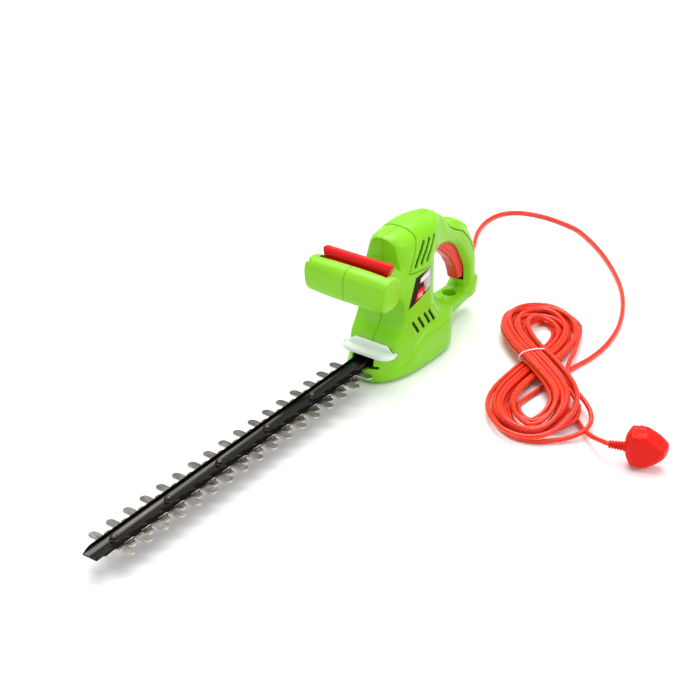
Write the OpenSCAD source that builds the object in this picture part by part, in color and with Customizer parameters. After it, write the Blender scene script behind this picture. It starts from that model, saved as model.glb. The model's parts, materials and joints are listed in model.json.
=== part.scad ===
// Corded hedge trimmer, lying on a flat surface with its mains cord wound into a hank beside it.
// +X runs to the blade tip, +Y is the operator's left, +Z is up; Z = 0 is the surface it rests on.

/* [Blade] */
// Spacing of the long teeth along the blade
tooth_pitch = 28; // [26:0.5:30]
// Number of long teeth on each side
tooth_count = 17; // [12:1:17]
// Distance from the middle of the blade to a long tooth's tip
tooth_reach = 32; // [28:0.5:33]
// Width of a long tooth
tooth_w = 11.7; // [9:0.1:13]
// Distance from the middle of the blade to a cutter tooth's tip
cutter_reach = 21; // [18:0.5:23]
// Thickness of the comb and of the cutter
plate_t = 2; // [1.6:0.1:2.2]
// Width of the comb's bar
comb_w = 24; // [22:0.5:26]
// Width of the guide channel
channel_w = 20; // [19:0.5:22]
// Height of the guide channel over the comb
channel_h = 7; // [5:0.5:8]
// Travel of the cutter to each side of its middle
half_stroke = 10; // [6:0.5:10]

/* [Housing] */
// Thickness of the housing's walls
wall = 2.8; // [2.2:0.1:3.2]
// Half length of the front handle
bar_half = 61; // [58:1:68]
// Radius of the scoop under the front handle
scoop_r = 30; // [26:0.5:31]
// Diameter of the recess in the bridge of the rear handle
recess_d = 19; // [14:0.5:20]

/* [Drive] */
// Distance of the motor's axis from the origin, along X
motor_x = -2; // [-4:0.5:0]
// Gear module
gear_m = 1.25; // [1.2:0.01:1.25]
// Teeth on the motor's pinion
pinion_teeth = 8; // [8:1:8]
// Teeth on the drive gear
gear_teeth = 48; // [48:1:48]

/* [Cord] */
// Diameter of the mains cord
cord_d = 6.2; // [5.5:0.1:6.6]
// Height of the cord's hank
hank_h = 26; // [22:1:32]
// Half width of the plug's body
plug_half_w = 25; // [22:0.5:26]

/* [Hidden] */
$fn = 48;
eps = 0.01;
lime = [0.52, 0.82, 0.15];
red = [0.88, 0.07, 0.06];
cord_red = [0.93, 0.2, 0.14];
steel = [0.62, 0.62, 0.6];
dark = [0.09, 0.09, 0.09];
copper = [0.75, 0.42, 0.2];

// Heights of the blade's layers
comb_top = 28;
comb_z = comb_top - plate_t;
cutter_z = comb_z - 0.3 - plate_t;
channel_t = 2;
tongue_w = channel_w - 2 * channel_t - 1;
first_tooth_x = 575;
last_tooth_x = first_tooth_x - (tooth_count - 1) * tooth_pitch;
channel_tip = 610;
channel_rear = 66;
bolt_pitch = 90.5;
bolt_x = [for (i = [0:4]) 571.5 - i * bolt_pitch];
bolt_r = 2.5;
clamp_x = [70, 80];

// Gear train
pinion_r = gear_m * pinion_teeth / 2;
gear_r = gear_m * gear_teeth / 2;
gear_x = motor_x + pinion_r + gear_r;
gear_z = 36;
gear_h = 10;
gearcase_z = 50;
gearcase_t = 5;
shaft_r = 3.5;
gear_shaft_r = 4;
running = 0.05;

// Body sections: height, front, rear, half width, squareness
body_mid = -5;
body_top = 190;
body_levels = [
    [0, 98, -68, 42, 2.6], [3, 102, -72, 45, 2.6], [8, 104, -75, 47.5, 2.6], [28, 103, -76, 48, 2.5],
    [40, 100, -75, 46.5, 2.5], [52, 98, -70, 43.5, 2.5], [62, 97, -60, 42.5, 2.5],
    [75, 96, -49, 42, 2.5], [100, 93, -43, 40.5, 2.5], [125, 89, -41, 38.5, 2.5],
    [150, 80, -42, 36, 2.5], [163, 74, -44, 33, 2.5], [173, 66, -46, 28.5, 2.4],
    [181, 56, -44, 22, 2.3], [187, 44, -39, 14, 2.2], [190, 31, -31, 7, 2]
];

// Rear handle: centre x and z, half thickness in the handle's plane, half width, squareness
grip_route = [
    [-34, 150, 22, 20], [-56, 150, 22, 19], [-78, 144, 17, 17.5], [-97, 134, 16, 17],
    [-114, 119, 17.5, 17], [-126, 100, 18, 17], [-134, 80, 15.5, 17], [-136, 62, 15, 17],
    [-137, 47, 15, 17], [-134, 35, 12.5, 17.5], [-122, 30, 10, 18], [-104, 29, 9.5, 18.5],
    [-84, 29, 9.5, 20], [-58, 29, 10, 22]
];

// Front handle
bar_x = 125;
bar_z = 150.5;
bar_hx = 19;
bar_hz = 23.5;
lever_pivot = [123, 140];
lever_pin_r = 2;
lever_half = 51;
trigger_pivot = [-66, 142];
trigger_pin_r = 2;
trigger_half = 9;

// Screws that join the housing's halves, x and z
screw_places = [[88, 10], [-56, 13], [41, 163], [-36, 163], [-128, 30], [133, 167]];

// The lower vents' upper ends and slant
vent_tops = [[45, 71], [33, 73], [20, 74], [9, 74]];
vent_slant = [-10, -16];

// Route of the cord's free stretch, from the rear handle to the hank
cord_r = cord_d / 2;
cord_route = [
    [-168, -6, 38.4], [-174, -7.5, 38], [-182, -10, 37], [-190, -15, 35], [-198, -22, 31],
    [-206, -31, 25], [-215, -40, 18], [-227, -48, 11], [-242, -55, 6], [-258, -62, 4], [-275, -70, 3.2], [-312, -86, 3.2],
    [-353, -104, 3.2], [-393, -112, 3.2], [-425, -107, 3.2], [-446, -88, 3.2], [-455, -55, 3.2],
    [-452, -19, 3.2], [-443, 14, 3.2], [-421, 48, 3.2], [-393, 82, 3.2], [-363, 112, 3.2],
    [-332, 139, 3.2], [-300, 162, 3.2], [-264, 182, 3.2], [-229, 197, 3.2], [-192, 208, 3.2],
    [-150, 214, 3.2], [-112, 213, 3.2], [-84, 208, 3.2], [-60, 200, 3.2]
];
// Route from the hank to the plug
lead_route = [
    [10, 244, 3.2], [23, 260, 3.2], [37, 276, 4], [53, 292, 7], [66, 307, 11.5], [76, 320, 16.5],
    [84, 331, 21.5], [89, 340, 24.5], [88.5, 348, 25]
];
plug_at = [85.5, 357, 25];
plug_turn = 110;
plug_lean = 0;

// --- Shared shapes -------------------------------------------------------------------------------

// A point on the smooth curve through four points, between the middle two
function blend4(a, b, c, d, t) =
    0.5 * (2 * b + (c - a) * t + (2 * a - 5 * b + 4 * c - d) * t * t + (3 * b - a - 3 * c + d) * t * t * t);

// The smooth curve through a list of points, with k steps from each point to the next
function smooth(p, k) = let (n = len(p)) [
    for (i = [0:n - 2], j = [0:k - 1])
        blend4(p[max(0, i - 1)], p[i], p[i + 1], p[min(n - 1, i + 2)], j / k),
    p[n - 1]
];

function unit(v) = v / norm(v);
function signed_pow(v, e) = sign(v) * pow(abs(v), e);

// A closed solid through a list of rings that all have the same number of points
module loft(rings) {
    n = len(rings[0]);
    m = len(rings);
    polyhedron(
        points = [for (r = rings, p = r) p],
        faces = [
            [for (i = [0:n - 1]) i],
            [for (i = [n - 1:-1:0]) (m - 1) * n + i],
            for (j = [0:m - 2], i = [0:n - 1]) let (a = j * n + i, b = j * n + (i + 1) % n) [a, a + n, b],
            for (j = [0:m - 2], i = [0:n - 1])
                let (a = j * n + i, b = j * n + (i + 1) % n) [b, a + n, b + n]
        ]
    );
}

// A round tube along a route that stays off the vertical
module tube(route, r, sides) {
    n = len(route);
    loft([for (i = [0:n - 1])
        let (t = unit(route[min(n - 1, i + 1)] - route[max(0, i - 1)]),
             side = unit(cross([0, 0, 1], t)), up = cross(t, side))
        [for (k = [0:sides - 1]) route[i] + r * (cos(360 * k / sides) * side + sin(360 * k / sides) * up)]]);
}

// A cylinder along Y, placed by x and z
module y_rod(x, z, r, y0, y1) {
    translate([x, y0, z])
        rotate([-90, 0, 0])
            cylinder(r = r, h = y1 - y0);
}

// A slab along Y with an outline drawn in x and z
module y_slab(outline, y0, y1) {
    translate([0, y1, 0])
        rotate([90, 0, 0])
            linear_extrude(y1 - y0)
                polygon(outline);
}

// A spur gear with straight-sided teeth, its first tooth on the +X axis when lead is 0
module spur_gear(teeth, h, bore_r, lead) {
    r = gear_m * teeth / 2;
    step = 360 / teeth;
    root = r - 1.15 * gear_m;
    tip = r + 0.85 * gear_m;
    difference() {
        linear_extrude(h)
            polygon([for (i = [0:teeth - 1], e = [[-0.34, root], [-0.13, tip], [0.13, tip], [0.34, root]])
                let (a = lead + step * (i + e[0])) e[1] * [cos(a), sin(a)]]);
        translate([0, 0, -eps])
            cylinder(r = bore_r, h = h + 2 * eps);
    }
}

// --- Housing --------------------------------------------------------------------------------------

// One section of the body, drawn in by inset
function body_ring(level, inset) = let (
    lift = inset + level[0] * (body_top - 2 * inset) / body_top,
    front = level[1] - inset - body_mid,
    rear = body_mid - level[2] - inset,
    e = 2 / level[4]
) [for (i = [0:39]) let (a = 9 * i + 4.5, c = signed_pow(cos(a), e), s = signed_pow(sin(a), e))
    [body_mid + (c > 0 ? front : rear) * c, (level[3] - inset) * s, lift]];

module body_form(inset) {
    loft([for (level = body_levels) body_ring(level, inset)]);
}

// The rear handle's loop, from inside the body over the grip and back along the bridge
module grip_form(inset, last) {
    route = smooth([for (i = [0:last]) grip_route[i]], 2);
    n = len(route);
    loft([for (i = [0:n - 1])
        let (p = route[i], q = route[min(n - 1, i + 1)] - route[max(0, i - 1)],
             t = unit([q[0], 0, q[1]]), out = [t[2], 0, -t[0]])
        [for (k = [0:19]) let (a = 18 * k + 9)
            [p[0], 0, p[1]] + (p[2] - inset) * signed_pow(cos(a), 0.8) * out
            + [0, (p[3] - inset) * signed_pow(sin(a), 0.8), 0]]]);
}

module bar_form(inset) {
    ends = [[-1, 0.78], [-0.96, 0.87], [-0.86, 0.93], [-0.4, 0.99], [0.4, 0.99], [0.86, 0.93], [0.96, 0.87],
            [1, 0.78]];
    loft([for (e = ends) [for (k = [0:27]) let (a = -360 * k / 28)
        [bar_x + (bar_hx * e[1] - inset) * signed_pow(cos(a), 0.72), (bar_half - inset) * e[0],
         bar_z + (bar_hz * e[1] - inset) * signed_pow(sin(a), 0.72)]]]);
}

module stem_form(inset) {
    hull()
        for (p = [[54, 130], [54, 141], [110, 132], [110, 143]])
            y_rod(p[0], p[1], 8 - inset, -20 + inset, 20 - inset);
}

// The rear corner of the handle, round the cord's way out
module tail_form() {
    hull() {
        y_rod(-145, 45, 8, -16.5, 16.5);
        y_rod(-147, 37, 8, -16.5, 16.5);
        y_rod(-138, 30, 7.5, -16.5, 16.5);
    }
}

// Places a child whose +Z runs out of the rear handle along the cord's boot
module at_boot() {
    translate([-144, 0, 40])
        rotate([0, 0, 14])
            rotate([0, -94, 0])
                children();
}

// The space for fingers behind the front handle and the scoop over the nose, wider by grow
module finger_space(grow) {
    translate([0, 60, 0])
        rotate([90, 0, 0])
            linear_extrude(120)
                offset(delta = grow) {
                    hull()
                        for (p = [[72, 164], [90, 164], [72, 240], [110, 240]])
                            translate(p)
                                circle(r = 14);
                    translate([88, 91])
                        circle(r = scoop_r);
                    polygon([[62, 76], [66, 65], [70.5, 56], [74, 48], [75, 38], [140, 38], [140, 121], [88, 121]]);
                }
}

// The guard's outline, with its corner radius, foot and height
module guard_slab(r, z, h) {
    hull()
        for (y = [-22, 22])
            translate([85, y, z])
                cylinder(r = r, h = h);
}

// The vented panel's region, seen from the side
saddle_side = [[25, 205], [20, 178], [47, 139], [-12, 133], [-20, 165], [-38, 205]];

module saddle_block(grow) {
    translate([0, 60, 0])
        rotate([90, 0, 0])
            linear_extrude(120)
                offset(delta = grow)
                    polygon(saddle_side);
}

// The outer strip of the rear handle, seen from the side
strip_side = [[-68, 182], [-76, 152], [-90, 143], [-108, 134], [-128, 113], [-143, 86], [-146, 62],
              [-160, 60], [-170, 120], [-120, 170]];

module strip_block(grow) {
    translate([0, 40, 0])
        rotate([90, 0, 0])
            linear_extrude(80)
                offset(delta = grow)
                    polygon(strip_side);
}

trigger_front = [[-51, 130], [-73, 114], [-91, 98], [-103, 81], [-108, 69], [-111, 59]];
trigger_back = [[-123, 57], [-127, 74], [-117, 99], [-97, 123], [-72, 147], [-60, 147]];
trigger_gap = [[-48, 129], [-72, 111], [-90, 95], [-102, 79], [-108, 53], [-127, 53], [-129, 74],
               [-119, 101], [-98, 126], [-72, 150], [-48, 150]];

module housing_solid() {
    difference() {
        body_form(0);
        finger_space(0);
    }
    stem_form(0);
    bar_form(0);
    grip_form(0, 13);
    tail_form();
}

module screw_post(p) {
    y_rod(p[0], p[1], 5.6, -50, 50);
}

module housing_shell() {
    difference() {
        housing_solid();
        difference() {
            union() {
                difference() {
                    body_form(wall);
                    finger_space(wall);
                }
                stem_form(wall);
                bar_form(wall);
                grip_form(wall, 8);
            }
            for (p = screw_places)
                screw_post(p);
        }
        // blade and its channel
        translate([50, -comb_w / 2 - 1.6, cutter_z - 0.9])
            cube([80, comb_w + 3.2, comb_top + channel_h - cutter_z + 1.9]);
        // ventilation
        for (p = vent_tops)
            hull()
                for (q = [p, p + vent_slant])
                    y_rod(q[0], q[1], 2.2, -60, 60);
        // lever and trigger
        translate([98, -lever_half - 0.8, 158])
            cube([28.5, 2 * lever_half + 1.6, 30]);
        y_slab(trigger_gap, -trigger_half - 0.6, trigger_half + 0.6);
        y_rod(trigger_pivot[0], trigger_pivot[1], trigger_pin_r + 0.05, -15.5, 15.5);
        y_rod(lever_pivot[0], lever_pivot[1], lever_pin_r + 0.05, -58.6, 58.6);
        // recess in the bridge
        translate([-105, 0, 25])
            cylinder(d = recess_d, h = 30);
        // way out for the cord
        at_boot()
            translate([0, 0, -1])
                cylinder(r = 6.3, h = 20);
        // seat of the guard
        guard_slab(17.3, 37.9, 3.2);
        // screws and their heads
        for (p = screw_places) {
            y_rod(p[0], p[1], 1.8, -26, 17);
            y_rod(p[0], p[1], 3.6, -70, -20);
        }
        saddle_block(0.15);
        strip_block(0.15);
    }
}

module housing_left() {
    color(lime)
        intersection() {
            housing_shell();
            translate([-300, 0, -1])
                cube([600, 100, 300]);
        }
}

module housing_right() {
    color(lime)
        intersection() {
            housing_shell();
            translate([-300, -100, -1])
                cube([600, 100, 300]);
        }
}

module vent_saddle() {
    color(lime)
        difference() {
            intersection() {
                body_form(0);
                saddle_block(0);
            }
            body_form(wall);
            for (x = [0, 12, 24])
                hull()
                    for (p = [[12.5 - x, 170], [34.5 - x, 145]])
                        y_rod(p[0], p[1], 1.9, -60, 60);
            grip_form(0.1, 13);
        }
}

module handle_strip() {
    color(lime)
        difference() {
            intersection() {
                grip_form(0, 13);
                strip_block(0);
            }
            grip_form(wall, 8);
            body_form(0.1);
        }
}

// --- Blade guard and label ------------------------------------------------------------------------

module blade_guard() {
    color([0.85, 0.93, 0.88, 0.5])
        difference() {
            guard_slab(17, 38.1, 5.4);
            guard_slab(15, 40.7, 10);
            translate([60, -60, 40.7])
                cube([27, 120, 20]);
        }
}

module side_label() {
    color([0.12, 0.06, 0.06])
        intersection() {
            difference() {
                body_form(-0.45);
                body_form(-0.1);
            }
            y_slab([[52, 97], [35, 129], [2, 131], [4, 106]], 20, 60);
        }
}

// --- Blade ----------------------------------------------------------------------------------------

module guide_channel() {
    color(dark)
        difference() {
            union() {
                translate([channel_rear, -channel_w / 2, comb_top])
                    cube([channel_tip - channel_rear, channel_w, channel_t]);
                for (s = [-1, 1])
                    translate([channel_rear, s * (channel_w / 2 - 1) - 1, comb_top])
                        cube([channel_tip - channel_rear, 2, channel_h]);
            }
            for (x = concat(bolt_x, clamp_x))
                translate([x, 0, comb_top - 1])
                    cylinder(r = bolt_r + 0.1, h = 10);
        }
}

// Tooth of a given half width at its root and near its tip, with a round or a square end
module long_tooth(s) {
    translate([-tooth_w / 2, s > 0 ? 0 : -tooth_reach + tooth_w / 2])
        square([tooth_w, tooth_reach - tooth_w / 2]);
    translate([0, s * (tooth_reach - tooth_w / 2)])
        circle(d = tooth_w);
}

module fixed_comb() {
    color(steel)
        translate([0, 0, comb_z])
            linear_extrude(plate_t)
                difference() {
                    union() {
                        translate([channel_rear, -comb_w / 2])
                            square([channel_tip - 12 - channel_rear, comb_w]);
                        for (i = [0:tooth_count - 1], s = [-1, 1])
                            translate([first_tooth_x - i * tooth_pitch, 0])
                                long_tooth(s);
                    }
                    for (x = concat(bolt_x, clamp_x))
                        translate([x, 0])
                            circle(r = bolt_r + 0.1);
                }
}

module cutter_slot(x0, x1) {
    translate([x0, -bolt_r - 0.3])
        square([x1 - x0, 2 * bolt_r + 0.6]);
    for (x = [x0, x1])
        translate([x, 0])
            circle(r = bolt_r + 0.3);
}

module cutter_blade() {
    color([0.5, 0.5, 0.48])
        translate([0, 0, cutter_z])
            linear_extrude(plate_t)
                difference() {
                    union() {
                        translate([44, -11.5])
                            square([channel_tip - 22 - 44, 23]);
                        translate([gear_x - 15, -20])
                            square([30, 40]);
                        for (i = [0:tooth_count - 2])
                            translate([first_tooth_x - (i + 0.5) * tooth_pitch, 0])
                                polygon([[-8, -11], [-4.2, -cutter_reach], [4.2, -cutter_reach], [8, -11],
                                         [8, 11], [4.2, cutter_reach], [-4.2, cutter_reach], [-8, 11]]);
                    }
                    for (x = bolt_x)
                        cutter_slot(x - half_stroke, x + half_stroke);
                    cutter_slot(clamp_x[0] - half_stroke, clamp_x[1] + half_stroke);
                    translate([gear_x - 5.3, -15.6])
                        square([10.6, 31.2]);
                }
}

module blade_bolts() {
    color(steel)
        for (x = bolt_x)
            translate([x, 0, 0]) {
                translate([0, 0, 19.2])
                    cylinder(r = 5, h = 2.4);
                translate([0, 0, 20])
                    cylinder(r = bolt_r, h = 14.6);
            }
}

module blade_washers() {
    color(steel)
        for (x = concat(bolt_x, clamp_x))
            translate([x, 0, 21.7])
                difference() {
                    cylinder(r = 4.9, h = 1.6);
                    translate([0, 0, -1])
                        cylinder(r = bolt_r + 0.1, h = 4);
                }
}

module blade_nuts() {
    color(steel)
        for (x = bolt_x)
            translate([x, 0, comb_top + channel_t + 0.02])
                difference() {
                    cylinder(r = 4.62, h = 4.2, $fn = 6);
                    translate([0, 0, -1])
                        cylinder(r = bolt_r + 0.02, h = 8);
                }
}

module clamp_screws() {
    color(steel)
        for (x = clamp_x)
            translate([x, 0, 0]) {
                translate([0, 0, 19.2])
                    cylinder(r = 4.6, h = 2.4);
                translate([0, 0, 20])
                    cylinder(r = bolt_r, h = 15.2);
            }
}

// --- Gear train and motor --------------------------------------------------------------------------

module gearcase() {
    color([0.3, 0.3, 0.32])
        difference() {
            union() {
                translate([motor_x - 20, -24, gearcase_z])
                    cube([67.2 - motor_x + 20, 48, gearcase_t]);
                translate([64.7, -tongue_w / 2, comb_top + channel_t + 0.02])
                    cube([2.5, tongue_w, gearcase_z - comb_top - channel_t + 1]);
                translate([64.7, -tongue_w / 2, comb_top + channel_t + 0.02])
                    cube([19.3, tongue_w, 5.4]);
            }
            translate([motor_x, 0, gearcase_z - 1])
                cylinder(r = 11.02, h = 10);
            translate([gear_x, 0, gearcase_z - 1])
                cylinder(r = 7.02, h = 10);
            for (x = clamp_x)
                translate([x, 0, 20])
                    cylinder(r = bolt_r + 0.02, h = 22);
        }
}

module gear_bush() {
    color([0.7, 0.55, 0.3])
        translate([gear_x, 0, gearcase_z - 1.5])
            difference() {
                cylinder(r = 7, h = 9);
                translate([0, 0, -1])
                    cylinder(r = gear_shaft_r + running, h = 12);
            }
}

module drive_gear() {
    color(steel)
        translate([gear_x, 0, gear_z])
            difference() {
                spur_gear(gear_teeth, gear_h, gear_shaft_r + 0.01, 180 + 180 / gear_teeth);
                for (a = [0:72:288])
                    rotate(a)
                        translate([17, 0, -1])
                            cylinder(r = 4.5, h = gear_h + 2);
            }
}

module gear_shaft() {
    color(steel)
        translate([gear_x, 0, gear_z])
            cylinder(r = gear_shaft_r, h = 23);
}

module eccentric() {
    color(steel)
        translate([gear_x, 0, gear_z - 3]) {
            cylinder(r = 17, h = 2.98);
            translate([0, half_stroke, 26.1 - gear_z + 3])
                cylinder(r = 5, h = gear_z - 3 - 26.1);
        }
}

module armature_shaft() {
    color(steel)
        translate([motor_x, 0, 34])
            cylinder(r = shaft_r, h = 139);
}

module pinion() {
    color(steel)
        translate([motor_x, 0, gear_z])
            spur_gear(pinion_teeth, gear_h, shaft_r + 0.01, 0);
}

module armature_core() {
    color([0.4, 0.4, 0.42])
        translate([motor_x, 0, 80])
            difference() {
                cylinder(r = 15, h = 45);
                translate([0, 0, -1])
                    cylinder(r = shaft_r + 0.01, h = 50);
                for (a = [0:30:330])
                    rotate(a)
                        translate([11.5, -1, -1])
                            cube([6, 2, 50]);
            }
}

module commutator() {
    color(copper)
        translate([motor_x, 0, 134])
            difference() {
                cylinder(r = 11, h = 15);
                translate([0, 0, -1])
                    cylinder(r = shaft_r + 0.01, h = 20);
            }
}

module fan() {
    color(dark)
        translate([motor_x, 0, 59.5])
            difference() {
                union() {
                    cylinder(r = 26, h = 1.6);
                    cylinder(r = 7, h = 8);
                    for (a = [0:30:330])
                        rotate(a)
                            translate([12, -0.7, 0])
                                cube([13, 1.4, 8]);
                }
                translate([0, 0, -1])
                    cylinder(r = shaft_r + 0.01, h = 12);
            }
}

// A bearing's ring, with its outer radius, height and foot
module bearing(outer_r, h, z) {
    color([0.75, 0.75, 0.77])
        translate([motor_x, 0, z])
            difference() {
                cylinder(r = outer_r, h = h);
                translate([0, 0, -1])
                    cylinder(r = shaft_r + running, h = h + 2);
            }
}

module bearing_lower() {
    bearing(11, 7, gearcase_z);
}

module bearing_upper() {
    bearing(9.5, 6, 162);
}

module motor_bracket() {
    color([0.25, 0.25, 0.27])
        translate([motor_x, 0, 154])
            difference() {
                union() {
                    translate([-9, -28, 0])
                        cube([18, 56, 4]);
                    cylinder(r = 12.5, h = 15);
                }
                translate([0, 0, -1])
                    cylinder(r = 9.52, h = 20);
            }
}

module stator_core() {
    color([0.45, 0.45, 0.47])
        translate([motor_x, 0, 80])
            difference() {
                cylinder(r = 28, h = 45);
                translate([0, 0, -1])
                    cylinder(r = 15.6, h = 50);
            }
}

module stator_windings() {
    color(copper)
        for (z = [71, 125.02])
            translate([motor_x, 0, z])
                difference() {
                    cylinder(r = 26, h = 8.9);
                    translate([0, 0, -1])
                        cylinder(r = 17, h = 11);
                }
}

module brush_holders() {
    color([0.6, 0.5, 0.25])
        for (s = [0, 180])
            translate([motor_x, 0, 141])
                rotate(s)
                    difference() {
                        translate([-5, 12.5, -5.5])
                            cube([10, 16, 11]);
                        translate([-3.1, 12, -4.1])
                            cube([6.2, 18, 8.2]);
                    }
}

module brushes() {
    color([0.15, 0.15, 0.16])
        for (s = [0, 180])
            translate([motor_x, 0, 141])
                rotate(s)
                    translate([-3, 11.4, -4])
                        cube([6, 14, 8]);
}

module capacitor() {
    color([0.85, 0.75, 0.2])
        translate([-61, -7, 152])
            cube([10, 14, 14]);
}

// --- Switches -------------------------------------------------------------------------------------

lever_side = [[104, 177], [106, 181.5], [113, 182.5], [116.5, 179.5], [119.5, 163], [127, 145],
              [127, 136], [119, 136], [116, 148], [109, 161], [104, 169]];

module front_lever() {
    color(red)
        difference() {
            union() {
                intersection() {
                    y_slab(lever_side, -lever_half, lever_half);
                    translate([90, -60, 159])
                        cube([50, 120, 30]);
                }
                y_slab(lever_side, -38, 38);
            }
            y_rod(lever_pivot[0], lever_pivot[1], lever_pin_r + running, -60, 60);
        }
}

module lever_pin() {
    color(steel)
        y_rod(lever_pivot[0], lever_pivot[1], lever_pin_r, -58.4, 58.4);
}

module lever_spring() {
    color(steel)
        difference() {
            y_rod(lever_pivot[0], lever_pivot[1], 3.6, 40, 48);
            y_rod(lever_pivot[0], lever_pivot[1], 2.2, 39, 49);
        }
}

module lever_switch() {
    color(dark)
        translate([130, -10, 138])
            cube([9, 20, 12]);
}

module trigger() {
    color(red)
        difference() {
            y_slab(concat(trigger_front, trigger_back), -trigger_half, trigger_half);
            y_rod(trigger_pivot[0], trigger_pivot[1], trigger_pin_r + running, -20, 20);
        }
}

module trigger_pin() {
    color(steel)
        y_rod(trigger_pivot[0], trigger_pivot[1], trigger_pin_r, -15.3, 15.3);
}

module trigger_spring() {
    color(steel)
        difference() {
            y_rod(trigger_pivot[0], trigger_pivot[1], 3.4, 10, 13.6);
            y_rod(trigger_pivot[0], trigger_pivot[1], 2.2, 9, 15);
        }
}

module trigger_switch() {
    color(dark)
        translate([-144.8, -7, 60])
            cube([7.3, 14, 23.2]);
}

module wiring() {
    color([0.15, 0.3, 0.75])
        for (y = [-4, 4])
            tube(smooth([[-140, y, 84.5], [-138, y, 96], [-131, y, 110], [-120, y, 123], [-104, y, 134],
                     [-86, y, 142], [-72, y, 152], [-61.5, y, 158]], 2), 1.2, 8);
}

module cord_clamp() {
    color(dark)
        translate([-139.5, -7, 47.2])
            cube([5, 14, 5]);
}

module housing_screws() {
    color(steel)
        for (p = screw_places) {
            y_rod(p[0], p[1], 1.7, -20, 16);
            y_rod(p[0], p[1], 3.3, -22.4, -20);
        }
}

// --- Cord and plug --------------------------------------------------------------------------------

module cord_boot() {
    color(dark)
        at_boot()
            cylinder(r1 = 6, r2 = 4.2, h = 30);
}

module mains_cord() {
    color(cord_red)
        tube(smooth(cord_route, 2), cord_r, 8);
}

hank_spots = [[-168, 100, 20], [-114, 137, 46], [-58, 168, 32], [-32, 190, 44], [36, 214, 50], [80, 216, 34]];

module cord_hank() {
    color(cord_red)
        linear_extrude(hank_h)
            for (i = [0:len(hank_spots) - 2])
                hull()
                    for (s = [hank_spots[i], hank_spots[i + 1]])
                        translate([s[0], s[1]])
                            circle(r = s[2]);
}

module hank_tie() {
    color([0.92, 0.92, 0.9])
        translate([-54, 171, 0])
            rotate(25)
                translate([-1, -34, hank_h + 0.02])
                    cube([2, 68, 1.2]);
}

module plug_lead() {
    color(cord_red)
        tube(smooth(lead_route, 2), cord_r, 8);
}

// Places a child whose +X runs from the cord to the plug's top, +Z to its pins
module at_plug() {
    translate(plug_at)
        rotate([0, 0, plug_turn])
            rotate([plug_lean - 90, 0, 0])
                children();
}

module plug_boot() {
    color(red)
        at_plug()
            translate([-14, 0, 0])
                rotate([0, 90, 0])
                    cylinder(r1 = 5, r2 = 6.5, h = 21);
}

// Half a plug section: the cord's end is at x = 4
function plug_ring(z, s) = [for (p = [[4, -10], [11, -plug_half_w + 1], [29, -plug_half_w], [48, -18],
    [56, -10], [56, 10], [48, 18], [29, plug_half_w], [11, plug_half_w - 1], [4, 10]])
    [30 + (p[0] - 30) * s, p[1] * s, z]];

module plug_body() {
    color(red)
        at_plug()
            loft([plug_ring(-14, 0.64), plug_ring(-9, 0.86), plug_ring(8, 1), plug_ring(12, 0.985)]);
}

module plug_pins() {
    color([0.8, 0.7, 0.4])
        at_plug() {
            translate([40, -2, 12.02])
                cube([4, 4, 22.7]);
            for (s = [-1, 1])
                translate([19, s * 11.1 - 3.15, 12.02])
                    cube([4, 6.3, 17.7]);
        }
}

module plug_fuse_carrier() {
    color(red)
        at_plug()
            translate([27, -4.2, 12.02])
                cube([10, 8.4, 1]);
}

housing_left();
housing_right();
vent_saddle();
handle_strip();
blade_guard();
side_label();
guide_channel();
fixed_comb();
cutter_blade();
blade_bolts();
blade_nuts();
blade_washers();
clamp_screws();
gearcase();
gear_bush();
drive_gear();
gear_shaft();
eccentric();
armature_shaft();
pinion();
armature_core();
commutator();
fan();
bearing_lower();
bearing_upper();
motor_bracket();
stator_core();
stator_windings();
brush_holders();
brushes();
capacitor();
front_lever();
lever_pin();
lever_spring();
lever_switch();
trigger();
trigger_pin();
trigger_spring();
trigger_switch();
wiring();
cord_clamp();
housing_screws();
cord_boot();
mains_cord();
cord_hank();
hank_tie();
plug_lead();
plug_boot();
plug_body();
plug_pins();
plug_fuse_carrier();
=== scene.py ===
"""Looks of the corded hedge trimmer: moulded housings, blade, controls, wound cord and plug.

Sizes are in millimetres and turned into metres where a mesh or curve is made.
"""

import json
import math

import bpy
import numpy as np
import openvdb
from mathutils import Matrix, Vector


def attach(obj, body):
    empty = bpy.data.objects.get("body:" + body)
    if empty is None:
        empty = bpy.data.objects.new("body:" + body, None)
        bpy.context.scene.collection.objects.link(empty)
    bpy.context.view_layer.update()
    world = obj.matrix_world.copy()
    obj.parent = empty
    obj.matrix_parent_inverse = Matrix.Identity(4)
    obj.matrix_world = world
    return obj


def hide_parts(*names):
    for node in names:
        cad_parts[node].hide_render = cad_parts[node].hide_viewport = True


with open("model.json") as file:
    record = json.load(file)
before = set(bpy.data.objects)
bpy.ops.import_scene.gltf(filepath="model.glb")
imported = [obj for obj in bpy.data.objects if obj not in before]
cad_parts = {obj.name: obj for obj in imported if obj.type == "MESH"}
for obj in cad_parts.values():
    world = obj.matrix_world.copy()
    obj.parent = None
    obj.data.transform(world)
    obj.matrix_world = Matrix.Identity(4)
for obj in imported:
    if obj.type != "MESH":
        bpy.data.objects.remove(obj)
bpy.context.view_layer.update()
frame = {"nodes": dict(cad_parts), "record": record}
MM = 0.001
TRIMMER = "trimmer"

# ---- Camera ----
CAMERA_AT = Vector((1.6851, 1.0880, 1.1334))
CAMERA_AZIMUTH = math.radians(34.95)
CAMERA_ELEVATION = math.radians(29.52)
LENS = 90


def new_object(name, data):
    obj = bpy.data.objects.new(name, data)
    bpy.context.scene.collection.objects.link(obj)
    return obj


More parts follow.
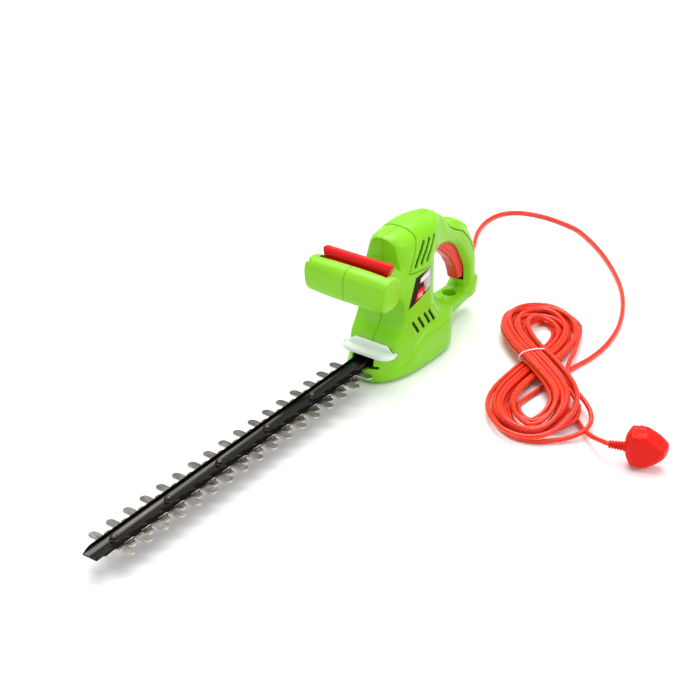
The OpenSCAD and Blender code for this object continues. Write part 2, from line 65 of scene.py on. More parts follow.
def make_camera():
    data = bpy.data.cameras.new("camera")
    data.lens = LENS
    data.sensor_width = 36
    data.clip_end = 20
    camera = new_object("camera", data)
    flat = math.cos(CAMERA_ELEVATION)
    back = Vector((flat * math.cos(CAMERA_AZIMUTH), flat * math.sin(CAMERA_AZIMUTH),
                   math.sin(CAMERA_ELEVATION)))
    camera.location = CAMERA_AT
    camera.rotation_euler = back.to_track_quat("Z", "Y").to_euler()
    bpy.context.scene.camera = camera


make_camera()


# ---- Materials ----
NOISE_LOW, NOISE_HIGH = 0.3, 0.7


class Nodes:
    """A material's node tree with short calls to add and join nodes."""

    def __init__(self, name):
        self.material = bpy.data.materials.new(name)
        self.material.use_nodes = True
        self.tree = self.material.node_tree
        self.shader = self.tree.nodes["Principled BSDF"]
        self.place = self.add("ShaderNodeTexCoord").outputs["Object"]

    def add(self, kind, **inputs):
        node = self.tree.nodes.new(kind)
        for name, value in inputs.items():
            self.put(node, name.replace("_", " "), value)
        return node

    def join(self, socket, value):
        if isinstance(value, bpy.types.NodeSocket):
            self.tree.links.new(value, socket)
        else:
            socket.default_value = value

    def put(self, node, name, value):
        self.join(node.inputs[name], value)

    def set(self, **inputs):
        for name, value in inputs.items():
            self.put(self.shader, name.replace("_", " "), value)

    def stretched(self, x, y, z):
        return self.add("ShaderNodeMapping", Vector=self.place, Scale=(x, y, z)).outputs[0]

    def noise(self, scale, detail=3.0, roughness=0.5, vector=None):
        return self.add("ShaderNodeTexNoise", Vector=vector or self.place, Scale=scale, Detail=detail,
                        Roughness=roughness).outputs[0]

    def ramp(self, factor, stops):
        node = self.add("ShaderNodeValToRGB", Fac=factor)
        ramp = node.color_ramp
        while len(ramp.elements) < len(stops):
            ramp.elements.new(0.5)
        for element, (at, value) in zip(ramp.elements, stops):
            element.position = at
            element.color = (*value, 1)
        return node.outputs[0]

    def blend(self, factor, dark, light):
        return self.ramp(factor, [(NOISE_LOW, dark), (NOISE_HIGH, light)])

    def span(self, factor, low, high):
        """Maps the usual range of a noise to low..high."""
        return self.add("ShaderNodeMapRange", Value=factor, From_Min=NOISE_LOW, From_Max=NOISE_HIGH,
                        To_Min=low, To_Max=high).outputs[0]

    def math(self, kind, a, b=0.0):
        node = self.tree.nodes.new("ShaderNodeMath")
        node.operation = kind
        for socket, value in zip(node.inputs, (a, b)):
            self.join(socket, value)
        return node.outputs[0]

    def mix(self, factor, a, b):
        node = self.tree.nodes.new("ShaderNodeMix")
        node.data_type = "RGBA"
        for name, value in (("Factor_Float", factor), ("A_Color", a), ("B_Color", b)):
            socket = next(s for s in node.inputs if s.identifier == name)
            self.join(socket, (*value, 1) if isinstance(value, tuple) else value)
        return next(s for s in node.outputs if s.identifier == "Result_Color")

    def bump(self, height, distance, strength):
        return self.add("ShaderNodeBump", Height=height, Distance=distance, Strength=strength).outputs[0]


def plastic(name, dark, light, rough=(0.3, 0.4), grain=0.00003, **extra):
    """Moulded plastic: slow colour drift, fine moulded grain and faint handling marks."""
    n = Nodes(name)
    drift = n.noise(14, 2)
    n.set(Base_Color=n.blend(drift, dark, light))
    marks = n.noise(90, 5, 0.65, n.stretched(1, 1, 0.35))
    n.set(Roughness=n.span(marks, *rough))
    n.set(Normal=n.bump(n.noise(1500, 2), grain, 0.5))
    n.set(**extra)
    return n.material


def metal(name, dark, light, rough=(0.25, 0.45), stretch=(1, 1, 1), scale=300, depth=0.00002, **extra):
    """Metal with machining lines or grain along the axes that stretch leaves long."""
    n = Nodes(name)
    lines = n.noise(scale, 4, 0.6, n.stretched(*stretch))
    n.set(Metallic=1.0, Base_Color=n.blend(lines, dark, light))
    n.set(Roughness=n.span(n.noise(60, 4), *rough))
    n.set(Normal=n.bump(lines, depth, 0.6))
    n.set(**extra)
    return n.material


def blade_metal():
    """Punched blade steel: brown-grey rolled faces, brighter ground edges, fine scratches."""
    n = Nodes("blade_metal")
    rolled = n.ramp(n.noise(220, 4, 0.6, n.stretched(1, 0.25, 1)),
                    [(0.25, (0.15, 0.14, 0.12)), (0.75, (0.28, 0.265, 0.235))])
    up = n.add("ShaderNodeSeparateXYZ", Vector=n.add("ShaderNodeNewGeometry").outputs["Normal"])
    flat = n.math("GREATER_THAN", n.math("ABSOLUTE", up.outputs["Z"]), 0.9)
    n.set(Base_Color=n.mix(flat, (0.5, 0.48, 0.44), rolled), Metallic=1.0)
    n.set(Roughness=n.span(n.noise(120, 5), 0.16, 0.28))
    n.set(Normal=n.bump(n.noise(900, 3, 0.6, n.stretched(0.1, 1, 1)), 0.00003, 0.5))
    return n.material


def black_steel():
    """Semi-gloss black coating, a little brown, with worn streaks along the blade."""
    n = Nodes("black_steel")
    streaks = n.noise(70, 6, 0.65, n.stretched(0.12, 1, 1))
    n.set(Base_Color=n.ramp(streaks, [(0.35, (0.012, 0.011, 0.0095)), (0.75, (0.032, 0.03, 0.026))]))
    n.set(Metallic=0.9, Roughness=n.span(n.noise(50, 4, 0.6, n.stretched(0.2, 1, 1)), 0.12, 0.24))
    n.set(Normal=n.bump(n.noise(800, 2), 0.00002, 0.4))
    return n.material


def clear_plastic():
    """Clear polycarbonate with a faint green tint and hairline scuffs."""
    n = Nodes("clear_plastic")
    n.set(Base_Color=n.blend(n.noise(20, 2), (0.9, 0.985, 0.91), (0.95, 1.0, 0.955)))
    n.set(Transmission_Weight=0.22, IOR=1.5)
    n.set(Roughness=n.span(n.noise(140, 5, 0.7, n.stretched(1, 0.3, 1)), 0.1, 0.25))
    n.set(Normal=n.bump(n.noise(400, 3), 0.00001, 0.3))
    return n.material


def label_print():
    """Generic printed label: black field, silver corner, red block with pale bars, no lettering."""
    n = Nodes("label_print")
    sep = n.add("ShaderNodeSeparateXYZ", Vector=n.place)
    x, z = sep.outputs["X"], sep.outputs["Z"]

    def side(px, pz, qx, qz):
        """1 on the left of the line from p to q, seen with +X left and +Z up, and 0 on the right."""
        nx, nz = -(qz - pz), (qx - px)
        value = n.math("ADD", n.math("MULTIPLY", n.math("SUBTRACT", x, px * MM), nx),
                       n.math("MULTIPLY", n.math("SUBTRACT", z, pz * MM), nz))
        return n.math("GREATER_THAN", value, 0.0)

    def inside(*corners):
        area = None
        for p, q in zip(corners, corners[1:] + corners[:1]):
            half = side(*p, *q)
            area = half if area is None else n.math("MULTIPLY", area, half)
        return area

    base = n.blend(n.noise(60, 2), (0.012, 0.004, 0.004), (0.03, 0.009, 0.009))
    brushed = n.noise(300, 3, 0.6, n.stretched(0.2, 1, 1))
    silver = n.blend(brushed, (0.3, 0.3, 0.3), (0.5, 0.5, 0.5))
    color = n.mix(inside((1, 107), (18, 104), (22, 128), (0, 134)), base, silver)
    color = n.mix(inside((22, 101), (40, 99), (32, 112), (16, 114)), color, (0.72, 0.02, 0.02))
    for low in (102.6, 106.0):
        bar = inside((24, low), (34, low - 0.8), (33, low + 0.5), (23.4, low + 1.3))
        color = n.mix(bar, color, (0.9, 0.82, 0.8))
    for low in (111.0, 114.5, 118.0):
        bar = inside((3, low), (14, low - 0.6), (14, low + 0.2), (3, low + 0.8))
        color = n.mix(bar, color, (0.85, 0.85, 0.85))
    color = n.mix(inside((6, 123), (28, 120), (26, 126.5), (5, 129)), color, (0.72, 0.72, 0.73))
    n.set(Base_Color=color, Roughness=n.span(n.noise(80, 3), 0.3, 0.42), Specular_IOR_Level=0.1)
    n.set(Normal=n.bump(n.noise(500, 2), 0.00001, 0.3))
    return n.material


PLUG_RED = plastic("plug_red", (0.66, 0.006, 0.002), (0.74, 0.012, 0.004), (0.32, 0.45), grain=0.00005,
                   Specular_IOR_Level=0.16)
TRIGGER_RED = plastic("trigger_red", (0.66, 0.022, 0.012), (0.74, 0.035, 0.02), (0.3, 0.4),
                      Specular_IOR_Level=0.28)
DARK_STEEL = metal("dark_steel", (0.05, 0.042, 0.038), (0.13, 0.115, 0.105), (0.28, 0.45))

# the look of each material slot, for the CAD nodes and for every piece that has no look of its own
SLOT_LOOKS = {
    "green_plastic": plastic("lime_plastic", (0.2, 0.57, 0.005), (0.235, 0.62, 0.008), (0.28, 0.38),
                             Specular_IOR_Level=0.33, Subsurface_Weight=0.06, Subsurface_Scale=0.004,
                             Subsurface_Radius=(0.6, 1.0, 0.2)),
    "red_plastic": plastic("red_plastic", (0.6, 0.004, 0.003), (0.68, 0.007, 0.005), (0.24, 0.34),
                           Specular_IOR_Level=0.2),
    "cord_jacket": plastic("cord_red", (0.68, 0.018, 0.003), (0.8, 0.035, 0.006), (0.22, 0.34),
                           grain=0.00004, Specular_IOR_Level=0.45),
    "black_plastic": plastic("black_plastic", (0.012, 0.012, 0.012), (0.03, 0.03, 0.03), (0.45, 0.6),
                             grain=0.00006),
    "white_plastic": plastic("white_plastic", (0.8, 0.8, 0.78), (0.9, 0.9, 0.88), (0.35, 0.5)),
    "carbon": plastic("carbon", (0.02, 0.02, 0.022), (0.06, 0.06, 0.065), (0.5, 0.7), grain=0.00008),
    "clear_plastic": clear_plastic(),
    "label_film": label_print(),
    "black_steel": black_steel(),
    "blade_steel": blade_metal(),
    "bright_steel": metal("bright_steel", (0.5, 0.5, 0.49), (0.68, 0.67, 0.66), (0.22, 0.4)),
    "zinc_alloy": metal("zinc_alloy", (0.3, 0.3, 0.31), (0.45, 0.45, 0.46), (0.4, 0.6), depth=0.00006),
    "bronze": metal("bronze", (0.45, 0.3, 0.14), (0.62, 0.45, 0.24), (0.35, 0.5)),
    "brass": metal("brass", (0.6, 0.45, 0.2), (0.78, 0.62, 0.32), (0.2, 0.35)),
    "copper": metal("copper", (0.5, 0.2, 0.08), (0.72, 0.34, 0.16), (0.3, 0.45), (1, 1, 12), 400),
    "lamination": metal("lamination", (0.2, 0.2, 0.21), (0.4, 0.4, 0.41), (0.4, 0.55), (0.05, 0.05, 6), 300),
}


def dress_cad_nodes():
    """Gives each CAD node the look of its material slot."""
    for part in frame["record"]["subparts"]:
        node = frame["nodes"][part["node"]]
        node.data.materials.clear()
        node.data.materials.append(SLOT_LOOKS[part["material_slot"]])


dress_cad_nodes()


# ---- Mesh helpers ----
def add_mesh(name, verts, faces, slot, replaces=(), sharp=None, look=None):
    """A smooth mesh from millimetre vertices, part of the trimmer, with edges past an angle kept sharp."""
    mesh = bpy.data.meshes.new(name)
    mesh.from_pydata([tuple(v) for v in np.asarray(verts, float) * MM], [], faces)
    mesh.validate()
    mesh.materials.append(look or SLOT_LOOKS[slot])
    obj = new_object(name, mesh)
    mesh.shade_smooth()
    finish_piece(obj, TRIMMER, replaces)
    if sharp:
        mesh.set_sharp_from_angle(angle=math.radians(sharp))


def finish_piece(obj, body, replaces=()):
    """Puts a piece on the body it rides on and hides the CAD nodes it stands for."""
    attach(obj, body)
    if replaces:
        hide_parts(*replaces)


def tube_faces(rings, around):
    """Faces between rings of vertices, and last those that join the last ring to the first."""
    faces = []
    for i in range(rings):
        for j in range(around):
            k, m = (i + 1) % rings, (j + 1) % around
            faces.append((i * around + j, k * around + j, k * around + m, i * around + m))
    return faces


def grid_faces(cells):
    """Faces of a square grid of vertices with so many cells along each side."""
    row = cells + 1
    return [(k, k + 1, k + row + 1, k + row) for i in range(cells) for k in range(i * row, i * row + cells)]


def smooth_path(points, steps):
    """Points on the smooth curve through a list of points, steps for each stretch."""
    p = np.asarray(points, float)
    p = np.vstack([2 * p[0] - p[1], p, 2 * p[-1] - p[-2]])
    out = []
    for a, b, c, d in zip(p[:-3], p[1:-2], p[2:-1], p[3:]):
        for i in range(steps):
            t = i / steps
            out.append(0.5 * (2 * b + (c - a) * t + (2 * a - 5 * b + 4 * c - d) * t * t
                              + (3 * b - a - 3 * c + d) * t ** 3))
    out.append(p[-2])
    return np.array(out)


def through(knots, values):
    """A smooth function through knots, as monotone as the values are."""
    k, v = np.asarray(knots, float), np.asarray(values, float)
    h = np.diff(k)
    slope = np.diff(v) / h
    m = np.zeros_like(v)
    m[0], m[-1] = slope[0], slope[-1]
    same = slope[:-1] * slope[1:] > 0
    m[1:-1][same] = 2 * slope[:-1][same] * slope[1:][same] / (slope[:-1] + slope[1:])[same]

    def at(x):
        x = np.clip(x, k[0], k[-1])
        i = np.clip(np.searchsorted(k, x, side="right") - 1, 0, len(h) - 1)
        t = (x - k[i]) / h[i]
        a = (1 + 2 * t) * (1 - t) ** 2 * v[i] + t * (1 - t) ** 2 * h[i] * m[i]
        return a + t * t * (3 - 2 * t) * v[i + 1] + t * t * (t - 1) * h[i] * m[i + 1]

    return at


# ---- The cord: free stretch, hank and plug lead as one line ----
CORD_D = 6.2
CORD_DOWN = [
    (-168, -6, 38.4), (-174, -7.5, 38), (-182, -10, 37), (-190, -15, 35), (-198, -22, 31),
    (-206, -31, 25), (-215, -40, 18), (-227, -48, 11), (-242, -55, 6), (-258, -62, 4),
]
CORD_LYING = [
    (-275, -70), (-312, -86), (-353, -104), (-393, -112), (-425, -107), (-446, -88), (-454.5, -55),
    (-452, -19), (-443, 14), (-421, 48), (-393, 82), (-363, 112), (-332, 139), (-300, 162), (-264, 182),
    (-229, 197), (-192, 208), (-150, 214), (-112, 213), (-84, 208),
]
CORD_ROUTE = CORD_DOWN + [(x, y, 3.2) for x, y in CORD_LYING]
LEAD_ROUTE = [
    (10, 244, 3.2), (23, 260, 3.2), (37, 276, 4), (53, 292, 7), (66, 307, 11.5), (76, 320, 16.5),
    (84, 331, 21.5), (89, 340, 24.5), (88.5, 348, 25),
]
HANK_CENTRE = np.array([-47.0, 171.0])
HANK_ALONG = np.array([0.894, 0.448])
HANK_ACROSS = np.array([-0.448, 0.894])
TURNS = 12
POINTS_PER_TURN = 64
LOBE_NEAR, LOBE_FAR = 160.0, 155.0
LOBE_HALF_W = 36.0
STRAND_PITCH = 6.1
LAYER_PITCH = 6.0
# how the strands stray from an even lay: size, pace and start of each wave
LOOSE_WAVES = ((4.2, 2.6, 0.6), (2.6, 5.3, 0), (1.6, 11.9, 1.1))
# the turn at the middle of each slack loop, and how far it reaches out
SLACK_LOOPS = ((4.35, 27), (3.35, 17), (2.35, 9))


def ease(t):
    t = np.clip(t, 0, 1)
    return t * t * (3 - 2 * t)


def hank_point(along, across, height):
    x, y = HANK_CENTRE + along * HANK_ALONG + across * HANK_ACROSS
    return (x, y, height)


def hank_line():
    """Figure-of-eight turns in two untidy layers; one diagonal crosses over the other at the waist."""
    turn = np.arange(0.1, TURNS - 0.12, 1 / POINTS_PER_TURN)
    phase = (turn % 1) * 2 * np.pi
    angle = np.pi / 2 - phase

    def centre_line(a):
        reach = np.where(np.cos(a) > 0, LOBE_NEAR, LOBE_FAR)
        return reach * np.cos(a), -LOBE_HALF_W * (np.sin(2 * a) - 0.12 * np.sin(4 * a))

    u, v = centre_line(angle)
    du, dv = (p - q for p, q in zip(centre_line(angle - 0.01), centre_line(angle + 0.01)))
    size = np.hypot(du, dv)
    left_u, left_v = -dv / size, du / size
    half = STRAND_PITCH * TURNS / 4
    first, second = half - 3 - STRAND_PITCH * turn, -half + STRAND_PITCH * (turn - TURNS / 2)
    shift = ease((turn - TURNS / 2 + 0.15) / 0.3)
    slot = first * (1 - shift) + second * shift
    away = np.abs(np.sin(phase))
    loose = sum(sway * np.sin(pace * turn + start) for sway, pace, start in LOOSE_WAVES)
    slot = slot + loose * (0.3 + 0.7 * away ** 1.5)
    u, v = u + slot * left_u, v + slot * left_v
    u = u * (1 - 0.05 * (1 + np.sin(3.7 * turn + 0.9)) * away)
    # slack loops on the side next to the plug
    slack = np.sin(np.clip((phase / np.pi - 0.42) / 0.5, 0, 1) * np.pi) ** 2
    for middle, reach in SLACK_LOOPS:
        v = v + slack * reach * ease(1 - np.abs(turn - middle) * 1.6)
    # heights: the layer, sag, and the hump where this diagonal passes over the other
    over = ease((phase / np.pi - 0.48) / 0.36) * ease((1.5 - phase / np.pi) / 0.36)
    z = CORD_D / 2 + LAYER_PITCH * shift + 2.02 * CORD_D * over
    z = z + 1.7 * np.exp(-(u / 22) ** 2) + (1.3 + 1.3 * np.sin(4.1 * turn)) * away * (0.4 + shift)
    return [hank_point(*p) for p in zip(u, v, z)]


def cord_line():
    """The whole cord, from the rear handle through the hank to the plug's boot."""
    start = smooth_path(CORD_ROUTE, 4)
    turns = hank_line()
    leave = [hank_point(-52, 47, 9.4), hank_point(-18, 41, 9.6), hank_point(14, 36, 8.4),
             hank_point(40, 34, 5.2), hank_point(62, 37, 3.5)]
    join = smooth_path([CORD_ROUTE[-2], CORD_ROUTE[-1], hank_point(8, 33, 3.4), turns[0], turns[3]], 6)[6:-6]
    away = smooth_path([turns[-4], turns[-1], *leave, *LEAD_ROUTE], 5)[5:]
    return np.vstack([start, join[1:-1], turns, away[1:]])


def add_cord():
    line = cord_line()
    steps = np.linalg.norm(np.diff(line, axis=0), axis=1)
    line = line[np.concatenate([[True], steps > 0.4])]
    data = bpy.data.curves.new("mains_flex", "CURVE")
    data.dimensions = "3D"
    data.bevel_depth = CORD_D / 2 * MM
    data.bevel_resolution = 5
    data.use_fill_caps = True
    spline = data.splines.new("POLY")
    spline.points.add(len(line) - 1)
    for point, place in zip(spline.points, line):
        point.co = (*(place * MM), 1)
    spline.use_smooth = True
    data.materials.append(SLOT_LOOKS["cord_jacket"])
    cord = new_object("mains_flex", data)
    finish_piece(cord, TRIMMER, ("mains_cord", "cord_hank", "plug_lead"))
    length = float(np.linalg.norm(np.diff(line, axis=0), axis=1).sum()) * MM
    return cord, line[0] * MM, length


cord, cord_exit, cord_length = add_cord()


# ---- Mouldings as distance fields ----
WALL = 2.8


class Grid:
    """Sample points for a field. Only y above 0 is sampled, because the mouldings are the same each side."""

    def __init__(self, low, high, pitch):
        self.pitch = pitch
        self.low = np.array([low[0], pitch / 2, low[1]])
        top = np.array([high[0], high[1], high[2]])
        self.count = np.ceil((top - self.low) / pitch).astype(int)
        axes = [(self.low[i] + pitch * np.arange(self.count[i])).astype(np.float32) for i in range(3)]
        self.x, self.y, self.z = axes[0][:, None, None], axes[1][None, :, None], axes[2][None, None, :]
        self.axes = axes


HOUSE = Grid((-166, -2.4), (148, 66, 194), 0.85)
AXES, COUNT, PITCH = HOUSE.axes, HOUSE.count, HOUSE.pitch
X, Y, Z = HOUSE.x, HOUSE.y, HOUSE.z


def sharp_and(a, b, k):
    """Intersection of two fields with the edge rounded over about k."""
    h = np.maximum(k - np.abs(a - b), 0) / k
    return np.maximum(a, b) + h * h * k / 4


def blend_or(a, b, k):
    """Union of two fields with a fillet of about k."""
    h = np.maximum(k - np.abs(a - b), 0) / k
    return np.minimum(a, b) - h * h * k / 4


def cut(a, b, k):
    return sharp_and(a, -b, k)


def flat_polygon(points, g=HOUSE):
    """Distance to a polygon drawn in x and z, the same at every y."""
    p, x, z = np.asarray(points, np.float32), g.x, g.z
    best = None
    inside = np.zeros(np.broadcast(x, z).shape, bool)
    for (ax, az), (bx, bz) in zip(p, np.roll(p, -1, 0)):
        ex, ez = bx - ax, bz - az
        t = np.clip(((x - ax) * ex + (z - az) * ez) / (ex * ex + ez * ez), 0, 1)
        d = (x - ax - t * ex) ** 2 + (z - az - t * ez) ** 2
        best = d if best is None else np.minimum(best, d)
        if ez != 0:
            crosses = ((az > z) != (bz > z)) & (x < ex * (z - az) / ez + ax)
            inside ^= crosses
    return np.where(inside, -1, 1) * np.sqrt(best)


def flat_circle(at, r, g=HOUSE):
    return np.hypot(g.x - at[0], g.z - at[1]) - r


def flat_capsule(a, b, r, g=HOUSE):
    x, z = g.x, g.z
    ex, ez = b[0] - a[0], b[1] - a[1]
    t = np.clip(((x - a[0]) * ex + (z - a[1]) * ez) / (ex * ex + ez * ez), 0, 1)
    return np.hypot(x - a[0] - t * ex, z - a[1] - t * ez) - r


def round_edge(d, e, edge):
    """Intersection of two fields, each given edge too large, with the edge between them rounded."""
    return np.hypot(np.maximum(d, 0), np.maximum(e, 0)) + np.minimum(np.maximum(d, e), 0) - edge


def raise_flat(flat, half, edge, g=HOUSE):
    """An outline in x and z, drawn out to half each way along y, with its edge rounded."""
    return round_edge(flat + edge, np.abs(g.y) - half + edge, edge)


def slots_from(tops, run, r):
    """Equal slots in x and z, each from its top along run."""
    return np.minimum.reduce([flat_capsule(p, (p[0] + run[0], p[1] + run[1]), r) for p in tops])


def even(field):
    """Scales a field so that it measures distance near its surface."""
    gx, gy, gz = np.gradient(field, PITCH)
    return field / np.maximum(np.sqrt(gx * gx + gy * gy + gz * gz), 0.004)


BODY_MID = -5
# for each height: the body's front and rear x, its half width and the squareness of its section
BODY_LEVELS = np.array([
    (-4, 96, -66, 41, 2.7), (0, 98, -68, 42, 2.7), (3, 102, -72, 43, 2.7), (8, 104, -75, 43.5, 2.7),
    (28, 103, -76, 43.4, 2.8), (40, 101, -73, 43, 3.0), (52, 99, -64, 42.7, 3.2), (62, 97, -51, 42.0, 3.2),
    (75, 96, -44, 41, 3.2), (100, 93, -41, 39.6, 3.4), (125, 88, -41, 38.3, 3.4), (142, 72, -43, 37, 3.3),
    (151, 65, -44, 36.3, 3.2), (163, 63.5, -47, 34.8, 3.1), (173, 63, -50, 33.4, 3.1),
    (184, 62.5, -52, 32, 3.0), (194, 62, -52, 31, 3.0),
])
# height and reach of the planes that trim the body's front and rear corners, and which way they face
TRIM_X, TRIM_Y = 0.573, 0.8195
FRONT_TAPER = ((138, 90), (146, 66), (152, 60), (163, 56), (170, 53), (177, 50.5), (184, 47.5), (190, 44))
REAR_TAPER = ((50, 62), (57, 47), (64, 40), (76, 35.5), (100, 34), (135, 34), (150, 35.5), (165, 38),
              (185, 42))
# x and height along the roof's ridge, and along the top of the skirt
ROOF = ((-60, 179), (-50, 182.5), (-35, 185.3), (-15, 187.3), (10, 188.6), (35, 189), (48, 188.8),
        (60, 187.6))
SKIRT_TOP = ((-80, 62), (-37, 56), (9, 55), (44, 41), (64, 28), (110, 14))
SKIRT_OUT, SKIRT_ROUND = 5.6, 12
# the arch of the body's top: where it starts, its height and half width, and how square it is
ARCH_FROM, ARCH_HEIGHT, ARCH_HALF, ARCH_POWER = 140, 49.6, 36, 2.3


def body_field():
    """The body: a squarish oval at each height, with a skirt, trimmed corners and a crowned roof."""
    z = AXES[2]
    front, rear, half, square = (through(BODY_LEVELS[:, 0], BODY_LEVELS[:, i])(z) for i in (1, 2, 3, 4))
    reach = np.where(X > BODY_MID, (front - BODY_MID)[None, None], (BODY_MID - rear)[None, None])
    top = through(*zip(*SKIRT_TOP))(AXES[0])
    t = np.clip((top[:, None] - z[None]) / SKIRT_ROUND, 0, 1)
    bulge = SKIRT_OUT * (1 - (1 - t) ** 2) * ease((z + 3) / 12)[None]
    width = (half[None] + bulge)[:, None, :]
    n = square[None, None, :]
    shape = (np.abs((X - BODY_MID) / reach) ** n + np.abs(Y / width) ** n) ** (1 / n) - 1
    field = even(shape.astype(np.float32))
    ridge = through(*zip(*ROOF))(AXES[0])[:, None, None]
    roof = (Z - ridge + 10 * np.abs(Y / 30) ** 2.7) * 0.9
    field = sharp_and(field, roof, 7.0)
    limit = through(*zip(*REAR_TAPER))(z)[None, None, :]
    field = sharp_and(field, TRIM_Y * np.abs(Y) - TRIM_X * X - limit, 10.0)
    limit = through(*zip(*FRONT_TAPER))(z)[None, None, :]
    field = sharp_and(field, TRIM_Y * np.abs(Y) + TRIM_X * X - limit, 10.0)
    # the arch widens below its shoulders, so that it leaves the body's sides alone
    across = np.abs(Y) / (ARCH_HALF + 14 * ease((152 - Z) / 26))
    up = np.maximum(Z - ARCH_FROM, 0) / ARCH_HEIGHT
    crown = (across ** ARCH_POWER + up ** ARCH_POWER) ** (1 / ARCH_POWER) - 1
    field = sharp_and(field, crown * 38 - 3 * ease((30 - X) / 30), 5.0)
    return sharp_and(field, 0.0 - Z, 3.0)


def fingers_field():
    """What is cut away from the body's front, above and below the handle's stem."""
    above = flat_polygon([(66, 151), (66, 240), (140, 240), (140, 151)])
    ball = flat_circle((88, 91), 30)
    nose = flat_polygon([(62, 76), (68, 65), (76, 55), (80.5, 47), (81.5, 38), (140, 38), (140, 121),
                         (88, 121)])
    return np.minimum(above, blend_or(ball, nose, 10))


# the crossbar: its axis in x and z, half length, half thickness each way and squareness
BAR_X, BAR_Z = np.array((125.0, 150.5))
BAR_HALF = 61.0
BAR_DEEP, BAR_TALL, BAR_POWER = 19, 23.5, 3.1


def bar_field():
    """The front handle's crossbar: a barrel that narrows to slanted, flat ends."""
    size = through([0, 0.4, 0.8, 0.95, 1.0], [1.0, 0.99, 0.94, 0.9, 0.87])(AXES[1] / BAR_HALF)[None, :, None]
    p = BAR_POWER
    shape = (np.abs((X - BAR_X) / BAR_DEEP) ** p + np.abs((Z - BAR_Z) / BAR_TALL) ** p) ** (1 / p) - size
    slant = 0.98 * (np.abs(Y) - BAR_HALF + 0.0026 * np.maximum(BAR_Z + 16 - Z, 0) ** 2)
    return sharp_and(shape * 20, slant, 2.2)


# the face under the roof: its x, half width, where its arch starts and how high that is
FACE_X, FACE_HALF, FACE_FROM, FACE_HEIGHT = 57.2, 27, 148, 36.5


def face_field():
    """The shallow arched face under the front of the roof."""
    up = np.maximum(Z - FACE_FROM, 0) / FACE_HEIGHT
    arch = ((Y / FACE_HALF) ** 2 + up ** 2) ** 0.5 - 1
    return sharp_and(arch * FACE_HALF, FACE_X - X, 1.0)


# x, z, half thickness and half width along the rear handle, and how square its section is
GRIP_POWER = 2.5
GRIP_ROUTE = [
    (-34, 150, 24, 20), (-54, 151, 25, 19), (-75, 142, 14.6, 17.5), (-97, 133, 16.2, 17),
    (-114, 119, 17.5, 17), (-126, 100, 18, 17), (-134, 80, 15.5, 17), (-136, 62, 15, 17),
    (-137, 47, 15, 17), (-136, 36, 12.5, 17.5),
]


def grip_field():
    """The rear handle: a thickness and half width carried along GRIP_ROUTE."""
    route = smooth_path(GRIP_ROUTE, 6).astype(np.float32)
    best = np.full((COUNT[0], 1, COUNT[2]), 1e9, np.float32)
    thick, wide = best.copy(), best.copy()
    for a, b in zip(route[:-1], route[1:]):
        ex, ez = b[0] - a[0], b[1] - a[1]
        t = np.clip(((X - a[0]) * ex + (Z - a[1]) * ez) / (ex * ex + ez * ez), 0, 1)
        d = (X - a[0] - t * ex) ** 2 + (Z - a[1] - t * ez) ** 2
        near = d < best
        best = np.where(near, d, best)
        thick = np.where(near, a[2] + t * (b[2] - a[2]), thick)
        wide = np.where(near, a[3] + t * (b[3] - a[3]), wide)
    off = np.sqrt(best) / thick
    p = GRIP_POWER
    shape = (off ** p + np.abs(Y / wide) ** p) ** (1 / p) - 1
    return shape * 16


BRIDGE_SIDE = [(-50, 41), (-62, 38.5), (-126, 38.5), (-137, 42), (-148, 52), (-154, 49), (-155.5, 42),
               (-155, 34), (-148, 26), (-75, 19.5), (-50, 18)]
RECESS_X = -105.0
RECESS_R = 9.5


def bridge_field():
    """The flat bridge from the body to the rear handle, with a raised rim round its recess."""
    half = through([-155, -140, -110, -80, -60], [15.5, 17.5, 18.5, 20, 23])(AXES[0])[:, None, None]
    field = raise_flat(flat_polygon(BRIDGE_SIDE), half, 4)
    around = np.hypot(X - RECESS_X, Y)
    rim = sharp_and(np.abs(around - RECESS_R - 1.6) - 1.6, np.abs(Z - 37) - 2.4, 1.2)
    return blend_or(field, rim, 1.5)


def recess_field():
    """The round recess in the bridge, with six small ribs low on its wall."""
    around = np.hypot(X - RECESS_X, Y)
    turn = np.arctan2(Y, X - RECESS_X)
    ribs = 0.9 * np.exp(-((np.sin(turn * 3) / 0.22) ** 2)) * (Z < 35)
    return sharp_and(around - RECESS_R + ribs, 27 - Z, 1.0)


GUARD_X, GUARD_LINE_HALF, GUARD_Z = 85, 22, 39.5
LABEL_SIDE = [(53, 93), (36, 130), (1, 133), (3, 106)]
SADDLE_SIDE = [(22, 205), (22, 178), (47, 139), (-3, 134), (-19, 165), (-28, 205)]
STRIP_SIDE = [(-68, 182), (-76, 152), (-90, 143), (-108, 134), (-128, 113), (-143, 86), (-146, 62),
              (-160, 60), (-170, 120), (-120, 170)]
TRIGGER_GAP = [(-48, 129), (-72, 111), (-90, 95), (-102, 79), (-108, 53), (-127, 53), (-129, 74),
               (-119, 101), (-98, 126), (-72, 150), (-48, 150)]
VENT_TOPS = [(45, 71), (33, 73), (20, 74), (9, 74)]
BLIND_VENTS = [(57, 68.5), (-3, 75)]
VENT_SLANT = (-10, -16)
SCREWS = [(88, 10), (-56, 13), (41, 163), (-36, 163), (-128, 30), (133, 167)]
# the screws' wells have this radius, and neither they nor the label's recess go deeper than this y
WELL_R, WELL_DEEP_TO = 3.6, 20
# the cord's boot: where its axis starts, and how it leans from straight up and turns from -X
BOOT_AT = (-144, 0, 40)
BOOT_LEAN, BOOT_TURN = math.radians(-94), math.radians(14)
BOOT_BORE_R = 6.4
